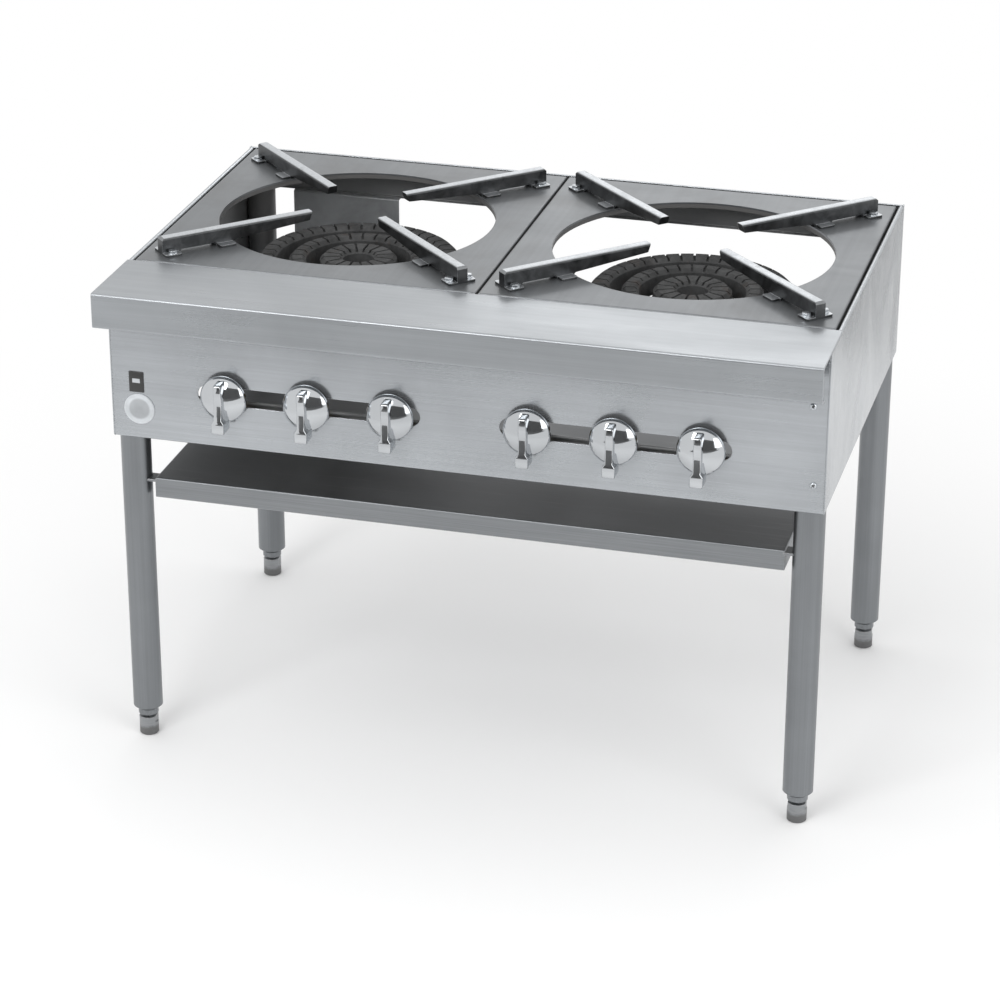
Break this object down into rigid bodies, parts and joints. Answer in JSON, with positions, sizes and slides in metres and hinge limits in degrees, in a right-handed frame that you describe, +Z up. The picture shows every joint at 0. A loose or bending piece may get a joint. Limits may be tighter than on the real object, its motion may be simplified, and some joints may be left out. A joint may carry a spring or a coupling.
{
  "type": "stock pot range",
  "caption": "Low gas stock pot range on round legs, with lift-off hob plates, raised pan arms over cast ring burners, lever knobs on a recessed panel and an undershelf.",
  "frame": {"origin": "on the floor, under the middle of the body's outline", "axes": "+X to the cook's right along the front, +Y from the front to the rear, +Z up"},
  "size_m": [0.9, 0.59, 0.658],
  "materials": {
    "body_sheet": "satin stainless sheet",
    "hob_sheet": "satin stainless sheet",
    "shelf_sheet": "satin steel sheet",
    "arm_steel": "satin folded steel",
    "bolt_steel": "bright steel",
    "leg_tube": "satin stainless tube",
    "foot_steel": "turned steel",
    "burner_iron": "as cast, matt",
    "bracket_steel": "dark heat-stained steel",
    "tap_brass": "machined brass",
    "knob_chrome": "polished chrome",
    "pipe_steel": "plain steel pipe",
    "governor_casting": "grey painted casting"
  },
  "bodies": {
    "range": {"front_ledge": "body_sheet", "control_panel": "body_sheet", "side_panel_left": "body_sheet", "side_panel_right": "body_sheet", "rear_apron": "body_sheet", "centre_rail": "bracket_steel", "burner_rail": "bracket_steel", "undershelf": "shelf_sheet", "leg_front_left": "leg_tube", "leg_front_right": "leg_tube", "leg_rear_left": "leg_tube", "leg_rear_right": "leg_tube", "burner_ring_left_outer": "burner_iron", "burner_ring_left_middle": "burner_iron", "burner_ring_left_inner": "burner_iron", "burner_cradle_left": "bracket_steel", "burner_ring_right_outer": "burner_iron", "burner_ring_right_middle": "burner_iron", "burner_ring_right_inner": "burner_iron", "burner_cradle_right": "bracket_steel", "gas_tap_1": "tap_brass", "gas_tap_2": "tap_brass", "gas_tap_3": "tap_brass", "gas_tap_4": "tap_brass", "gas_tap_5": "tap_brass", "gas_tap_6": "tap_brass", "injectors": "tap_brass", "gas_rail": "pipe_steel", "supply_pipe": "pipe_steel", "gas_inlet": "pipe_steel", "gas_governor": "governor_casting", "governor_bracket": "bracket_steel"},
    "control_1": {"knob_1": "knob_chrome", "tap_spindle_1": "tap_brass"},
    "control_2": {"knob_2": "knob_chrome", "tap_spindle_2": "tap_brass"},
    "control_3": {"knob_3": "knob_chrome", "tap_spindle_3": "tap_brass"},
    "control_4": {"knob_4": "knob_chrome", "tap_spindle_4": "tap_brass"},
    "control_5": {"knob_5": "knob_chrome", "tap_spindle_5": "tap_brass"},
    "control_6": {"knob_6": "knob_chrome", "tap_spindle_6": "tap_brass"},
    "levelling_foot_front_left": {"foot_front_left": "foot_steel"},
    "levelling_foot_front_right": {"foot_front_right": "foot_steel"},
    "levelling_foot_rear_left": {"foot_rear_left": "foot_steel"},
    "levelling_foot_rear_right": {"foot_rear_right": "foot_steel"},
    "hob_section_left": {"hob_plate_left": "hob_sheet", "pan_arm_left_front_right": "arm_steel", "pan_arm_left_rear_right": "arm_steel", "pan_arm_left_rear_left": "arm_steel", "pan_arm_left_front_left": "arm_steel", "arm_bolts_left": "bolt_steel"},
    "hob_section_right": {"hob_plate_right": "hob_sheet", "pan_arm_right_front_right": "arm_steel", "pan_arm_right_rear_right": "arm_steel", "pan_arm_right_rear_left": "arm_steel", "pan_arm_right_front_left": "arm_steel", "arm_bolts_right": "bolt_steel"}
  },
  "joints": [
    {"name": "control_1_turn", "type": "hinge", "parent": "range", "child": "control_1", "pos_m": [-0.3, -0.25, 0.497], "axis": [0, -1, 0], "range_deg": [0, 90]},
    {"name": "control_2_turn", "type": "hinge", "parent": "range", "child": "control_2", "pos_m": [-0.193, -0.25, 0.497], "axis": [0, -1, 0], "range_deg": [0, 90]},
    {"name": "control_3_turn", "type": "hinge", "parent": "range", "child": "control_3", "pos_m": [-0.086, -0.25, 0.497], "axis": [0, -1, 0], "range_deg": [0, 90]},
    {"name": "control_4_turn", "type": "hinge", "parent": "range", "child": "control_4", "pos_m": [0.086, -0.25, 0.497], "axis": [0, -1, 0], "range_deg": [0, 90]},
    {"name": "control_5_turn", "type": "hinge", "parent": "range", "child": "control_5", "pos_m": [0.193, -0.25, 0.497], "axis": [0, -1, 0], "range_deg": [0, 90]},
    {"name": "control_6_turn", "type": "hinge", "parent": "range", "child": "control_6", "pos_m": [0.3, -0.25, 0.497], "axis": [0, -1, 0], "range_deg": [0, 90]},
    {"name": "foot_front_left_screw", "type": "slide", "parent": "range", "child": "levelling_foot_front_left", "axis": [0, 0, -1], "range_m": [-0.003, 0.02]},
    {"name": "foot_front_right_screw", "type": "slide", "parent": "range", "child": "levelling_foot_front_right", "axis": [0, 0, -1], "range_m": [-0.003, 0.02]},
    {"name": "foot_rear_left_screw", "type": "slide", "parent": "range", "child": "levelling_foot_rear_left", "axis": [0, 0, -1], "range_m": [-0.003, 0.02]},
    {"name": "foot_rear_right_screw", "type": "slide", "parent": "range", "child": "levelling_foot_rear_right", "axis": [0, 0, -1], "range_m": [-0.003, 0.02]},
    {"name": "hob_section_left_lift", "type": "slide", "parent": "range", "child": "hob_section_left", "axis": [0, 0, 1], "range_m": [0, 0.06]},
    {"name": "hob_section_right_lift", "type": "slide", "parent": "range", "child": "hob_section_right", "axis": [0, 0, 1], "range_m": [0, 0.06]}
  ]
}
